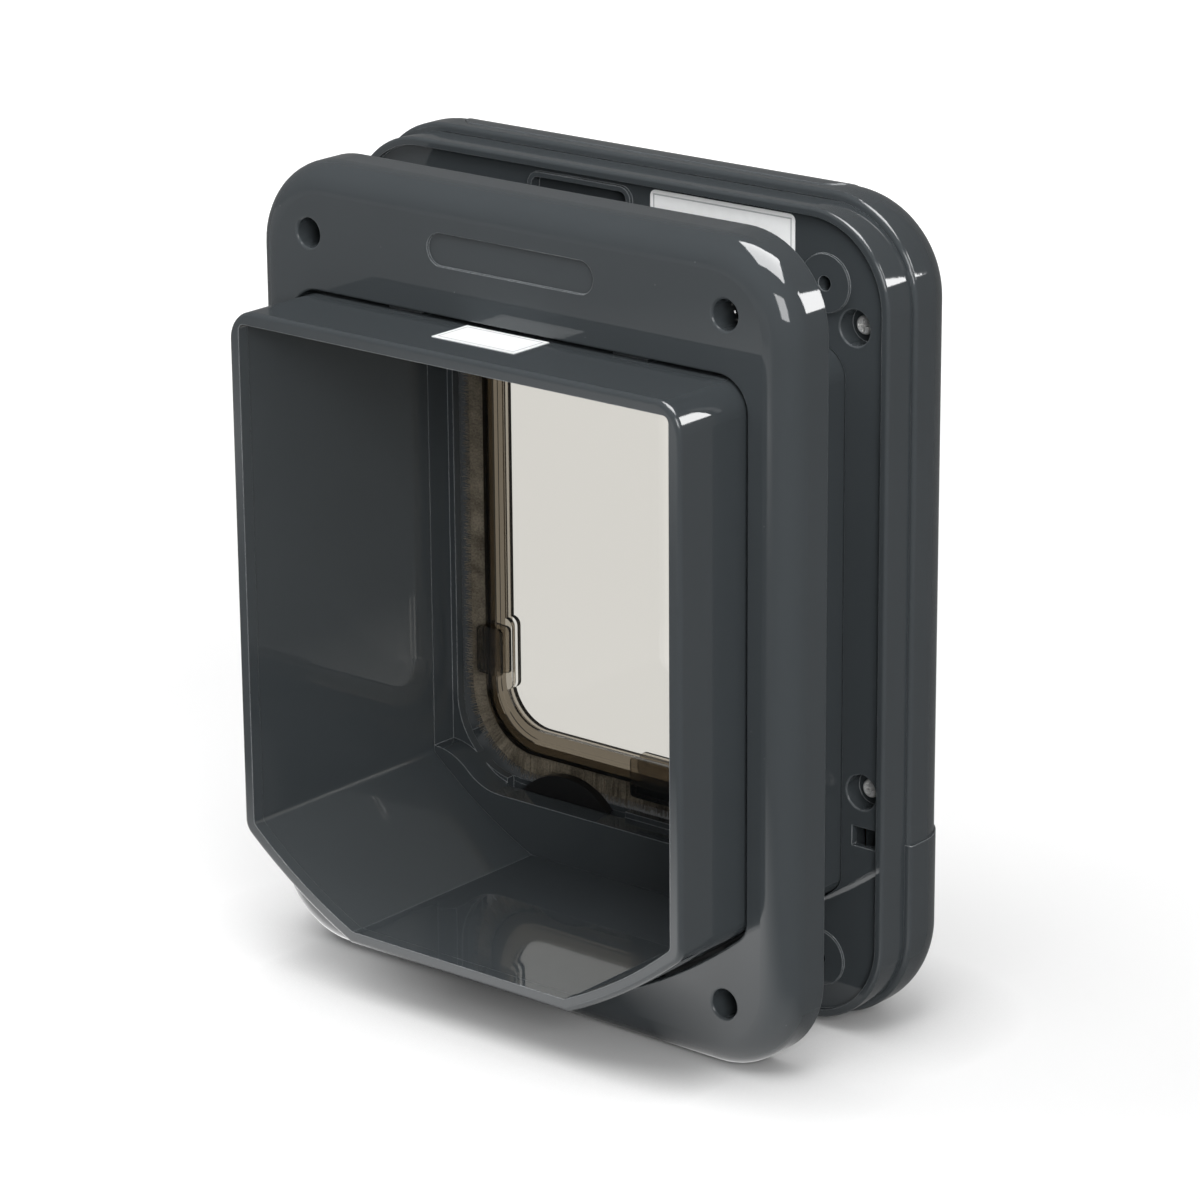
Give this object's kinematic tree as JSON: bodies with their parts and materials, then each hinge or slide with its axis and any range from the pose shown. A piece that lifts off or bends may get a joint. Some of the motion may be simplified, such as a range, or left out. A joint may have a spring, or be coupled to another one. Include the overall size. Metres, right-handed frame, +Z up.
{
  "type": "cat flap",
  "caption": "Electronic cat flap: screw-on outer frame, chamfered tunnel, battery-powered inner unit and a clear swinging flap with a brush seal.",
  "frame": {"origin": "on the floor under the middle of the whole depth, on the centre line", "axes": "+Z up, +Y from the garden side through the door to the room side, +X to the right seen from the garden"},
  "size_m": [0.2012, 0.113, 0.243],
  "materials": {
    "anthracite": "polished moulding",
    "smoked_clear": "smoked clear plastic",
    "bristle": "fine bristle pile",
    "black_plastic": "satin moulding",
    "zinc_steel": "bright zinc plate",
    "magnet": "nickel plate",
    "board": "solder mask",
    "copper_coil": "enamelled wire",
    "cell_jacket": "plain sleeve",
    "lens": "clear light pipe",
    "label": "smooth printed film, bare"
  },
  "bodies": {
    "base": {"outer_frame": "anthracite", "tunnel": "anthracite", "rear_housing": "anthracite", "inner_cover": "anthracite", "lower_cover": "anthracite", "flap_surround": "anthracite", "battery_box": "black_plastic", "board_parts": "black_plastic", "case_screws": "zinc_steel", "battery_contacts": "zinc_steel", "latch_solenoid": "zinc_steel", "sill_magnet": "magnet", "circuit_board": "board", "button_board": "board", "reader_coil": "copper_coil", "batteries": "cell_jacket", "status_lens": "lens", "tunnel_label": "label", "rating_label": "label"},
    "flap": {"flap_panel": "smoked_clear", "flap_brush": "bristle", "flap_clips": "smoked_clear", "flap_magnet": "magnet", "hinge_pins": "zinc_steel"},
    "lock": {"lock_rotor": "black_plastic", "lock_knob": "black_plastic"},
    "latch": {"latch_pawl": "black_plastic"},
    "lid": {"battery_lid": "anthracite"},
    "button": {"learn_button": "black_plastic"}
  },
  "joints": [
    {"name": "flap_swing", "type": "hinge", "parent": "base", "child": "flap", "pos_m": [0, 0.0391, 0.192], "axis": [1, 0, 0], "range_deg": [-75, 75], "deforming": ["flap_brush"]},
    {"name": "lock_turn", "type": "hinge", "parent": "base", "child": "lock", "pos_m": [-0.0338, 0.0336, 0.0237], "axis": [0, 1, 0], "range_deg": [-95, 0]},
    {"name": "latch_lift", "type": "slide", "parent": "base", "child": "latch", "axis": [0, 0, 1], "range_m": [0, 0.008]},
    {"name": "lid_hinge", "type": "hinge", "parent": "base", "child": "lid", "pos_m": [0, 0.0442, 0.2072], "axis": [-1, 0, 0], "range_deg": [0, 75]},
    {"name": "button_press", "type": "slide", "parent": "base", "child": "button", "axis": [0, -1, 0], "range_m": [0, 0.0015], "stiffness_N_per_m": 400}
  ]
}
